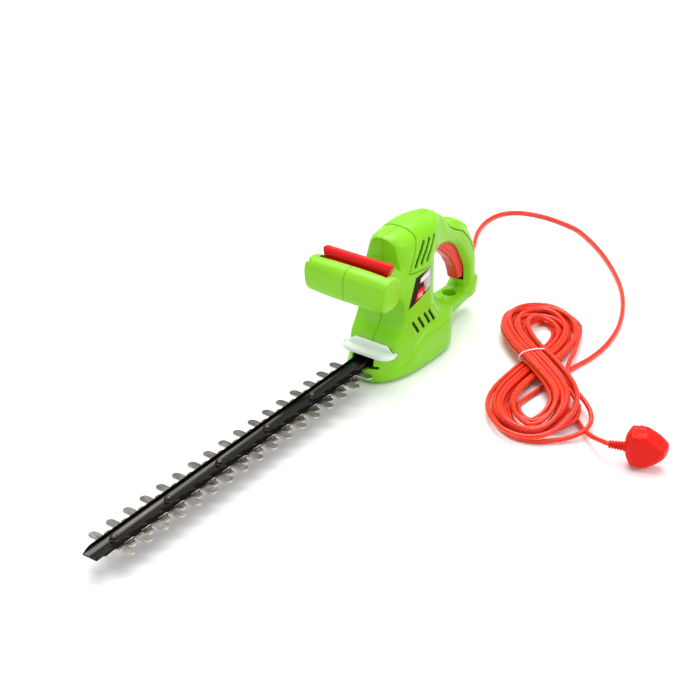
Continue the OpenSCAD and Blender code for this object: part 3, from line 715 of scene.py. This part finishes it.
# low and high corners of the boxes cut for the blade, for the cutter's teeth and for the lever
BLADE_MOUTH = ((50, -15.8, 22.8), (131, 15.8, 37.2))
TEETH_MOUTH = ((70, -21.9, 22.0), (131, 21.9, 25.6))
LEVER_SLOT = ((103, -50.2, 158), (123.5, 50.2, 200))
STEM_SIDE = [(54, 130), (54, 141), (110, 143), (110, 132)]


def box_field(low, high, edge):
    middle, half = (np.asarray(low) + high) / 2.0, (np.asarray(high) - low) / 2.0
    q = [np.abs(a - m) - h + edge for a, m, h in zip((X, Y, Z), middle, half)]
    outside = np.sqrt(sum(np.maximum(a, 0) ** 2 for a in q))
    return outside + np.minimum(np.maximum(np.maximum(q[0], q[1]), q[2]), 0) - edge


def boot_bore(side):
    """The bore for the cord's boot as one half sees it, with y counted outwards; it leans towards -Y."""
    along = (math.sin(BOOT_LEAN) * math.cos(BOOT_TURN), side * math.sin(BOOT_LEAN) * math.sin(BOOT_TURN),
             math.cos(BOOT_LEAN))
    px, py, pz = X - BOOT_AT[0], Y - BOOT_AT[1], Z - BOOT_AT[2]
    t = px * along[0] + py * along[1] + pz * along[2]
    square = px * px + py * py + pz * pz - t * t
    return np.maximum(np.sqrt(np.maximum(square, 0)) - BOOT_BORE_R, -3 - t)


def guard_distance(g):
    """Distance from the line that the guard's rounded outline is drawn round."""
    return np.hypot(g.x - GUARD_X, np.maximum(np.abs(g.y) - GUARD_LINE_HALF, 0))


def housing_fields():
    """The outside of the whole moulding, and the same with its hollow and openings."""
    body = cut(body_field(), fingers_field(), 5.0)
    body = cut(body, np.maximum(face_field(), 146 - Z), 0.9)
    stem = raise_flat(flat_polygon(STEM_SIDE) - 8, 20, 5)
    solid = blend_or(body, stem, 9.0)
    solid = blend_or(solid, bar_field(), 6.0)
    rear = blend_or(grip_field(), bridge_field(), 8.0)
    solid = blend_or(solid, rear, 9.0)
    # the body is hollow, and so is the rear handle above its bridge
    room = np.maximum(solid + WALL, 46 - Z - 200 * (X > -62))
    open_field = sharp_and(solid, -room, 0.6)
    open_field = cut(open_field, box_field(*BLADE_MOUTH, 0.6), 0.8)
    open_field = cut(open_field, box_field(*TEETH_MOUTH, 0.6), 0.6)
    open_field = cut(open_field, slots_from(VENT_TOPS, VENT_SLANT, 2.2), 1.2)
    for top in BLIND_VENTS:
        slot = slots_from([top], VENT_SLANT, 2.0)
        open_field = cut(open_field, np.maximum(slot, -solid - 1.1), 1.0)
    open_field = cut(open_field, box_field(*LEVER_SLOT, 1.0), 1.6)
    open_field = cut(open_field, raise_flat(flat_polygon(TRIGGER_GAP), 9.6, 1.0), 1.2)
    open_field = cut(open_field, recess_field(), 1.2)
    guard = guard_distance(HOUSE) - 17.3
    open_field = cut(open_field, np.maximum(guard, np.abs(Z - GUARD_Z) - 1.6), 0.6)
    return solid, open_field


SOLID, MOULDED = housing_fields()
SADDLE_FLAT = flat_polygon(SADDLE_SIDE)
STRIP_FLAT = flat_polygon(STRIP_SIDE)


HALF_GAP = 0.08
JOINT_GAP = 0.28


def field_mesh(name, field, slot, sides, faces_wanted, replaces, grid=HOUSE, body=TRIMMER, place=None,
               look=None):
    """Turns a field into a mesh. sides is 1 for the +Y half, -1 for the -Y half, and 0 for both as one."""
    pitch, low = grid.pitch, grid.low
    if sides:
        pad = 3
        extra = np.arange(-pad, 0) * pitch + low[1]
        below = np.maximum((HALF_GAP - extra)[None, :, None], np.minimum(field[:, :1], 0.5))
        data = np.concatenate([below, sharp_and(field, HALF_GAP - grid.y, 0.9)], axis=1)
        start = low[1] - pad * pitch
    else:
        data = np.concatenate([field[:, ::-1], field], axis=1)
        start = -grid.axes[1][-1]
    data = np.clip(data / pitch, -3, 3).astype(np.float32)
    data = np.pad(data, 1, constant_values=3.0)
    volume = openvdb.FloatGrid()
    volume.background = 3.0
    volume.copyFromArray(data)
    points, tris, quads = volume.convertToPolygons(isovalue=0.0, adaptivity=0.0)
    points = (points - 1) * pitch + np.array([low[0], start, low[2]])
    faces = quads.tolist() + tris.tolist()
    if sides < 0:
        points[:, 1] *= -1
        faces = [f[::-1] for f in faces]
    if place is not None:
        points = place(points)
    mesh = bpy.data.meshes.new(name)
    mesh.from_pydata((points * MM).tolist(), [], faces)
    mesh.validate()
    mesh.materials.append(look or SLOT_LOOKS[slot])
    obj = new_object(name, mesh)
    count = 2 * len(faces)
    if count > faces_wanted:
        thin = obj.modifiers.new("thin", "DECIMATE")
        thin.ratio = faces_wanted / count
        graph = bpy.context.evaluated_depsgraph_get()
        thinned = bpy.data.meshes.new_from_object(obj.evaluated_get(graph), depsgraph=graph)
        obj.modifiers.clear()
        obj.data = thinned
    obj.data.shade_smooth()
    finish_piece(obj, body, replaces)


def screw_wells():
    """The round wells over the housing's screws."""
    return np.minimum.reduce([np.maximum(np.hypot(X - x, Z - z) - WELL_R, WELL_DEEP_TO - Y)
                              for x, z in SCREWS])


def add_housing():
    """The two mouldings, which leave room for the saddle, the cover strip, the label and the boot."""
    joint = np.minimum(SADDLE_FLAT, STRIP_FLAT) - JOINT_GAP
    shell = cut(MOULDED, joint, 1.3)
    label = np.maximum(flat_polygon(LABEL_SIDE) - 1.0, -SOLID - 0.7)
    # the bore leans to one side, so each half has its own cut
    left = cut(cut(shell, np.maximum(label, WELL_DEEP_TO - Y), 0.8), boot_bore(1), 1.2)
    field_mesh("moulding_left", left, "green_plastic", 1, 190000, ("housing_left",))
    right = cut(cut(shell, screw_wells(), 1.0), boot_bore(-1), 1.2)
    field_mesh("moulding_right", right, "green_plastic", -1, 190000, ("housing_right",))


def add_saddle():
    """The vented panel over the body's top, a little proud, with three slots down each side."""
    skin = sharp_and(sharp_and(SOLID - 0.7, -SOLID - WALL, 0.8), SADDLE_FLAT + JOINT_GAP, 1.6)
    slots = slots_from([(12.5 - x, 170) for x in (0, 12, 24)], (22, -25), 2.3)
    skin = cut(skin, slots, 1.1)
    field_mesh("vent_panel", skin, "green_plastic", 0, 120000, ("vent_saddle",))


# the thumb ridges point at one hub; their directions are in radians from +X
THUMB_HUB = (-75, 92)
THUMB_RIDGES = [1.87 + 0.1 * i for i in range(7)]


def add_strip():
    """The rear handle's outer cover, with raised ridges where the thumb lies."""
    out_x, out_z = X - THUMB_HUB[0], Z - THUMB_HUB[1]
    around = np.arctan2(out_z, out_x)
    ridges = sum(np.exp(-((around - middle) / 0.023) ** 2) for middle in THUMB_RIDGES)
    ridges = ridges * ease((np.hypot(out_x, out_z) - 34) / 6)
    cover = SOLID - 0.7 - 2.6 * ridges * ease((14 - Y) / 3)
    skin = sharp_and(sharp_and(cover, -SOLID - WALL, 0.8), STRIP_FLAT + JOINT_GAP, 1.4)
    field_mesh("handle_cover", skin, "green_plastic", 0, 90000, ("handle_strip",))


add_housing()
add_saddle()
add_strip()


PATCH_CELLS = 28


def skin_depth(x, z, level):
    """The y at which the moulding's field reaches a level, at a place in x and z."""
    i, k = (x - AXES[0][0]) / PITCH, (z - AXES[2][0]) / PITCH
    i0, k0 = int(i), int(k)
    a, b = i - i0, k - k0
    column = ((1 - a) * (1 - b) * SOLID[i0, :, k0] + a * (1 - b) * SOLID[i0 + 1, :, k0]
              + (1 - a) * b * SOLID[i0, :, k0 + 1] + a * b * SOLID[i0 + 1, :, k0 + 1]) - level
    j = int(np.argmax(column > 0))
    return float(AXES[1][j - 1] - column[j - 1] * PITCH / (column[j] - column[j - 1]))


def add_patch(name, corners, level, thick, slot, side, replaces=()):
    """A thin sheet that follows the moulding's side inside four corners given in x and z."""
    n = PATCH_CELLS
    a, b, c, d = (np.array(p, float) for p in corners)
    verts = []
    for depth in (0, thick):
        for i in range(n + 1):
            for j in range(n + 1):
                p, q = i / n, j / n
                x, z = (a * (1 - p) + b * p) * (1 - q) + (d * (1 - p) + c * p) * q
                verts.append((x, side * (skin_depth(x, z, level) - depth), z))
    row, layer = n + 1, (n + 1) ** 2
    faces = grid_faces(n)
    faces += [tuple(k + layer for k in reversed(face)) for face in faces]
    rim = [i * row for i in range(n + 1)] + [n * row + j for j in range(1, n + 1)]
    rim += [i * row + n for i in range(n - 1, -1, -1)] + [j for j in range(n - 1, 0, -1)]
    for k, m in zip(rim, rim[1:] + rim[:1]):
        faces.append((k, m, m + layer, k + layer))
    if side < 0:
        faces = [f[::-1] for f in faces]
    add_mesh(name, verts, faces, slot, replaces, 40)


def add_label_and_vent_shade():
    add_patch("side_print", LABEL_SIDE, -0.35, 0.4, "label_film", 1, ("side_label",))
    behind_vents = [(51, 46), (51, 78), (-9, 80), (-9, 48)]
    # painted shade: black sheets inside the housing behind the vents, standing in for the shade in its
    # hollow so that the vent slots look dark
    add_patch("vent_painted_shade_left", behind_vents, -WALL - 0.4, 0.8, "black_plastic", 1)
    add_patch("vent_painted_shade_right", behind_vents, -WALL - 0.4, 0.8, "black_plastic", -1)


add_label_and_vent_shade()


# ---- Lever, trigger and guard ----
LEVER_SIDE = [(104, 177), (106, 181.5), (113, 182.5), (116.5, 179.5), (119.5, 163), (127, 145), (127, 136),
              (119, 136), (116, 148), (109, 161), (104, 169)]
LEVER_PIVOT = (123, 140)
TRIGGER_SIDE = [(-51, 130), (-73, 114), (-91, 98), (-103, 81), (-108, 69), (-111, 59), (-123, 57),
                (-127, 74), (-117, 99), (-97, 123), (-72, 147), (-60, 147)]
TRIGGER_PIVOT = (-66, 142)
PIVOT_R = 2.3


def add_lever():
    """The front handle's switch lever: a crowned bar with slanted ends, on two inner legs."""
    g = Grid((100, 132), (131, 54, 187), 0.55)
    outline = flat_polygon(LEVER_SIDE, g)
    bore = flat_circle(LEVER_PIVOT, PIVOT_R, g)
    half = 38 + (13 - 0.34 * np.maximum(182.5 - g.z, 0)) * ease((g.z - 159) / 1.5)
    edge = 2.2
    field = round_edge(cut(outline, bore, 0.5) + edge, (np.abs(g.y) - half) * 0.95 + edge, edge)
    scoop = np.hypot(g.x - 121.6, (g.z - 170.5) / 1.6) - 4.2
    scoop = np.maximum(scoop, np.abs(g.y) - 42)
    field = cut(field, scoop, 1.5)
    field_mesh("switch_lever", field, "red_plastic", 0, 60000, ("front_lever",), g, "front_lever")


def add_trigger():
    """The rear trigger: a crescent whose finger face is rounded over, with a shallow side recess."""
    g = Grid((-131, 54), (-47, 11, 151), 0.55)
    outline = flat_polygon(TRIGGER_SIDE, g)
    bore = flat_circle(TRIGGER_PIVOT, PIVOT_R, g)
    field = raise_flat(cut(outline, bore, 0.5), 9, 3.2, g)
    dent = sharp_and(outline + 6.5, 7.9 - np.abs(g.y), 1.5)
    field = cut(field, dent, 1.6)
    field_mesh("switch_trigger", field, "red_plastic", 0, 60000, ("trigger",), g, "trigger",
               look=TRIGGER_RED)


def add_guard():
    """The clear guard over the blade's root: a thin tray with a thick rolled lip."""
    g = Grid((66, 37), (103, 40, 54), 0.4)
    around = guard_distance(g)
    tray = sharp_and(around - 17, np.abs(g.z - GUARD_Z) - 1.3, 1.0)
    lip = sharp_and(np.abs(around - 15.7) - 1.3, np.abs(g.z - 40.9) - 2.6, 1.5)
    lip = sharp_and(lip, 84.5 - g.x, 2.0)
    back = np.minimum(flat_capsule((84.5, 39.5), (83.2, 46.5), 1.0, g),
                      flat_capsule((83.2, 46.5), (81.8, 49), 1.0, g))
    back = sharp_and(back, np.abs(g.y) - 35 + 0.3 * np.maximum(g.z - 39, 0) ** 1.5, 1.2)
    field = blend_or(blend_or(tray, lip, 1.2), back, 1.6)
    field_mesh("clear_guard", field, "clear_plastic", 0, 60000, ("blade_guard",), g)


add_lever()
add_trigger()
add_guard()


# ---- Blade ----
TOOTH_PITCH, TOOTH_W, TOOTH_REACH = 28, 11.7, 32
FIRST_TOOTH, TEETH = 575, 17
BOLT_X = [571.5 - 90.5 * i for i in range(5)]
CLAMP_X = (70, 80)
COMB_Z, CUTTER_Z, PLATE = 26.0, 23.7, 2.0
CUTTER_REACH = 21
STROKE = 10


def arc(cx, cy, r, start, end, steps=10):
    """Points round part of a circle, angles in degrees."""
    turns = [math.radians(start + (end - start) * i / steps) for i in range(steps + 1)]
    return [(cx + r * math.cos(t), cy + r * math.sin(t)) for t in turns]


def add_plate(name, outline, holes, z, bevel, body, replaces):
    """A flat blade of PLATE thickness with bevelled edges, from closed outlines in x and y."""
    data = bpy.data.curves.new(name, "CURVE")
    data.dimensions = "2D"
    data.fill_mode = "BOTH"
    data.extrude = (PLATE / 2 - bevel) * MM
    data.bevel_depth = bevel * MM
    data.bevel_resolution = 2
    data.offset = -bevel * MM
    for points in [outline, *holes]:
        spline = data.splines.new("POLY")
        spline.points.add(len(points) - 1)
        for point, (x, y) in zip(spline.points, points):
            point.co = (x * MM, y * MM, 0, 1)
        spline.use_cyclic_u = True
    shape = new_object(name + "_outline", data)
    graph = bpy.context.evaluated_depsgraph_get()
    mesh = bpy.data.meshes.new_from_object(shape.evaluated_get(graph), depsgraph=graph)
    bpy.data.objects.remove(shape)
    mesh.transform(Matrix.Translation((0, 0, (z + PLATE / 2) * MM)))
    mesh.materials.clear()
    mesh.materials.append(SLOT_LOOKS["blade_steel"])
    finish_piece(new_object(name, mesh), body, replaces)


def add_comb():
    """The fixed comb: long rounded fingers each side of a bar."""
    r = TOOTH_W / 2
    side = []
    for i in reversed(range(TEETH)):
        x = FIRST_TOOTH - i * TOOTH_PITCH
        side += [(x - r - 2.4, 12), (x - r - 0.7, 12.8), (x - r, 14.6)]
        side += arc(x, TOOTH_REACH - r, r, 180, 0, 12)
        side += [(x + r, 14.6), (x + r + 0.7, 12.8), (x + r + 2.4, 12)]
    outline = [(66, 12), *side, (598, 12), (598, -12), *[(x, -y) for x, y in reversed(side)], (66, -12)]
    holes = [arc(x, 0, 2.6, 360, 15, 23) for x in (*BOLT_X, *CLAMP_X)]
    add_plate("comb_fixed", outline, holes, COMB_Z, 0.35, TRIMMER, ("fixed_comb",))


def add_cutter():
    """The sliding cutter: ground trapezoid teeth, slots over the bolts and a window for the eccentric."""
    side = []
    for i in reversed(range(TEETH - 1)):
        x = FIRST_TOOTH - (i + 0.5) * TOOTH_PITCH
        side += [(x - 8, 11.5), (x - 4.4, CUTTER_REACH - 1), (x - 3.4, CUTTER_REACH),
                 (x + 3.4, CUTTER_REACH), (x + 4.4, CUTTER_REACH - 1), (x + 8, 11.5)]
    head = [(18, 20), (48, 20), (48, 11.5)]
    outline = [*head, *side, (588, 11.5), (588, -11.5), *[(x, -y) for x, y in reversed(side)],
               (48, -11.5), (48, -20), (18, -20)]
    slots = []
    for first, last in [*((x, x) for x in BOLT_X), CLAMP_X]:
        slots.append(arc(last + STROKE, 0, 2.8, 90, -90, 8) + arc(first - STROKE, 0, 2.8, -90, -270, 8))
    slots.append([(27.7, 15.6), (38.3, 15.6), (38.3, -15.6), (27.7, -15.6)])
    add_plate("cutter_sliding", outline, slots, CUTTER_Z, 0.3, "cutter", ("cutter_blade",))


def add_channel():
    """The black stiffening channel: a pressed trough with rolled rims, scarfed at its tip."""
    right = [(8.4, 29.9), (8.9, 30.2), (9.1, 31), (9.1, 34.4), (9.3, 34.85), (9.6, 35), (9.9, 34.8),
             (10, 34.3), (10, 28)]
    section = [(-y, z) for y, z in reversed(right)] + right
    stations = [(x, 1) for x in (66, 67, 120, 200, 300, 400, 500, 580, 598)]
    stations += [(604, 0.75), (608, 0.4), (610, 0.22)]
    verts = []
    for x, rise in stations:
        verts += [(x, y, 28 + (z - 28) * (rise if z > 30.7 else 1)) for y, z in section]
    m = len(section)
    faces = tube_faces(len(stations), m)[:-m]
    faces.append(tuple(range(m)))
    faces.append(tuple((len(stations) - 1) * m + i for i in range(m - 1, -1, -1)))
    add_mesh("stiffening_channel", verts, faces, "black_steel", ("guide_channel",), 50)


def lathe(profile, steps=32):
    """Vertices and faces turned round the Z axis from (radius, z) points; radius 0 closes an end."""
    verts, faces, rings = [], [], []
    for r, z in profile:
        count = steps if r else 1
        rings.append(list(range(len(verts), len(verts) + count)))
        turns = [2 * math.pi * k / steps for k in range(count)]
        verts += [(r * math.cos(turn), r * math.sin(turn), z) for turn in turns]
    for a, b in zip(rings[:-1], rings[1:]):
        for k in range(steps):
            n = (k + 1) % steps
            if len(a) == 1:
                faces.append((a[0], b[n], b[k]))
            elif len(b) == 1:
                faces.append((a[k], a[n], b[0]))
            else:
                faces.append((a[k], a[n], b[n], b[k]))
    return verts, faces


def add_blade_fixings():
    """Dark domed nuts on the channel's floor, with flanges, over the bolts' ends."""
    profile = [(0, 30.02), (4.9, 30.02), (5.1, 30.4), (4.8, 30.9), (4.35, 31.1), (4.2, 33.0), (3.7, 34.3),
               (2.6, 35.2), (1.2, 35.6), (0, 35.7)]
    verts, faces = [], []
    for x in BOLT_X:
        v, f = lathe(profile, 24)
        base = len(verts)
        verts += [(a + x, b, c) for a, b, c in v]
        faces += [tuple(i + base for i in face) for face in f]
    add_mesh("dome_nuts", verts, faces, "black_steel", ("blade_nuts",), 40, DARK_STEEL)


add_comb()
add_cutter()
add_channel()
add_blade_fixings()


# ---- Boots, plug and the hank's tie ----
PLUG_AT = np.array([85.5, 357.0, 25.0])
PLUG_TURN = math.radians(110)
PLUG_SIDE = [(4, 10), (11, 24), (29, 25), (45, 16), (55.6, 5.5)]
PLUG_LEVELS = [(-14, 0.64), (-9, 0.86), (8, 1.0), (12, 0.985)]


def plug_to_world(points):
    """Places points of the plug: x from the boot to its head, y across it, z towards its pins."""
    x, y, z = np.asarray(points, float).T
    side, up = math.cos(PLUG_TURN), math.sin(PLUG_TURN)
    return np.stack([PLUG_AT[0] + x * side - z * up, PLUG_AT[1] + x * up + z * side, PLUG_AT[2] - y], 1)


def add_plug():
    """The plug's body: bevelled facets on its back and a finger scoop on each side."""
    g = Grid((2, -15), (58, 27, 13), 0.5)
    scale = through(*zip(*PLUG_LEVELS))(g.axes[2])[None, None, :]
    x, y = (g.x - 30) / scale, g.y / scale
    corners = [(p[0] - 30, p[1]) for p in PLUG_SIDE]
    corners = [(corners[0][0], -corners[0][1]), *corners, (corners[-1][0], -corners[-1][1])]
    field = None
    for (ax, ay), (bx, by) in zip(corners[:-1], corners[1:]):
        length = math.hypot(bx - ax, by - ay)
        edge = (-(by - ay) * (x - ax) + (bx - ax) * (y - ay)) / length * scale
        field = edge if field is None else sharp_and(field, edge, 2.2)
    field = sharp_and(field * 0.95, np.maximum(-14 - g.z, g.z - 12), 1.4)
    scoop = np.sqrt((g.x - 20) ** 2 * 0.5 + (g.y - 30.5) ** 2 + (g.z + 6) ** 2) - 10.5
    field = cut(field, scoop, 2.0)
    field_mesh("plug_shell", field, "red_plastic", 0, 50000, ("plug_body",), g, place=plug_to_world,
               look=PLUG_RED)


def ribbed(length, first_r, last_r, ribs, groove, bore):
    """Lathe profile of a flexible boot: tapered, with grooves between its ribs and a bore for the cord."""
    profile = [(bore, 0), (first_r - 0.5, 0), (first_r, 0.5)]
    pitch = (length - 4.0) / ribs
    for i in range(ribs):
        start = 2.0 + i * pitch
        r = first_r + (last_r - first_r) * start / length
        end = start + pitch * 0.42
        profile += [(r, start), (r - 0.2, start + 0.25), (r - groove, start + 0.35), (r - groove, end),
                    (r - 0.2, end + 0.1), (r, end + 0.35)]
    profile += [(last_r, length - 0.5), (last_r - 0.5, length), (bore, length), (bore, 0)]
    return lathe(profile, 40)


def add_boots():
    """The ribbed boots where the cord leaves the handle and where it enters the plug."""
    verts, faces = ribbed(30, 6.0, 4.2, 7, 0.9, CORD_D / 2 - 0.1)
    tilt = Matrix.Rotation(BOOT_TURN, 4, "Z") @ Matrix.Rotation(BOOT_LEAN, 4, "Y")
    place = Matrix.Translation(BOOT_AT) @ tilt
    verts = [place @ Vector(v) for v in verts]
    add_mesh("handle_boot", verts, faces, "cord_jacket", ("cord_boot",), 50)
    verts, faces = ribbed(21, 4.9, 6.5, 5, 1.2, CORD_D / 2 - 0.1)
    turned = plug_to_world([(z - 14, -y, x) for x, y, z in verts])
    add_mesh("plug_sleeve", turned, faces, "red_plastic", ("plug_boot",), 50, PLUG_RED)


def add_tie():
    """The white wire tie round the upper strands at the hank's waist."""
    steps, tube = 72, 8
    verts = []
    for i in range(steps):
        turn = 2 * math.pi * i / steps
        c, s = math.cos(turn), math.sin(turn)
        for j in range(tube):
            a = 2 * math.pi * j / tube
            reach, lift = 19 + 0.8 * math.cos(a), 8.4 + 0.8 * math.cos(a)
            across = reach * math.copysign(abs(c) ** 0.8, c)
            height = 19 + lift * math.copysign(abs(s) ** 0.8, s)
            slide = 0.8 * math.sin(a)
            along = -9 - 0.45 * across + slide * 0.9
            verts.append(hank_point(along, -7 + 0.89 * across + slide * 0.4, height))
    add_mesh("wire_tie", verts, tube_faces(steps, tube), "white_plastic", ("hank_tie",))


add_plug()
add_boots()
add_tie()


# ---- Floor and light ----
FLOOR_HALF, FLOOR_CELLS, FLOOR_Z = 6.0, 60, -0.0004
# name, place, what it points at, size and watts, all in metres
LIGHTS = (
    ("top", (-0.1, 0.1, 2.2), (0.05, 0.1, 0), (2.0, 1.6), 30),
    ("front_left", (1.9, -0.6, 1.1), (0.1, 0, 0.1), (1.0, 1.0), 7),
    ("back", (-1.2, -0.95, 2.2), (-0.02, 0, 0.15), (1.6, 0.7), 34),
    ("front_right", (-0.3, 2.0, 1.2), (0.0, 0, 0.1), (1.6, 1.0), 15),
)
WORLD_STRENGTH = 0.6


def add_floor():
    floor = bpy.data.meshes.new("floor")
    marks = [-FLOOR_HALF + i * (2 * FLOOR_HALF / FLOOR_CELLS) for i in range(FLOOR_CELLS + 1)]
    floor.from_pydata([(x, y, FLOOR_Z) for y in marks for x in marks], [], grid_faces(FLOOR_CELLS))
    n = Nodes("floor_white")
    n.set(Base_Color=n.blend(n.noise(3, 2), (0.9, 0.9, 0.9), (0.94, 0.94, 0.94)))
    n.set(Roughness=n.span(n.noise(40, 3), 0.55, 0.7))
    floor.materials.append(n.material)
    new_object("floor", floor)


def add_light(name, place, target, size, watts):
    data = bpy.data.lights.new(name, "AREA")
    data.shape = "RECTANGLE"
    data.size, data.size_y = size
    data.energy = watts
    light = new_object(name, data)
    light.location = place
    light.rotation_euler = (Vector(place) - Vector(target)).to_track_quat("Z", "Y").to_euler()


def add_world():
    world = bpy.data.worlds.new("studio")
    world.use_nodes = True
    world.node_tree.nodes["Background"].inputs["Color"].default_value = (1, 1, 1, 1)
    world.node_tree.nodes["Background"].inputs["Strength"].default_value = WORLD_STRENGTH
    bpy.context.scene.world = world


add_floor()
add_world()
for light_spec in LIGHTS:
    add_light(*light_spec)
bpy.context.scene.view_settings.view_transform = "Standard"
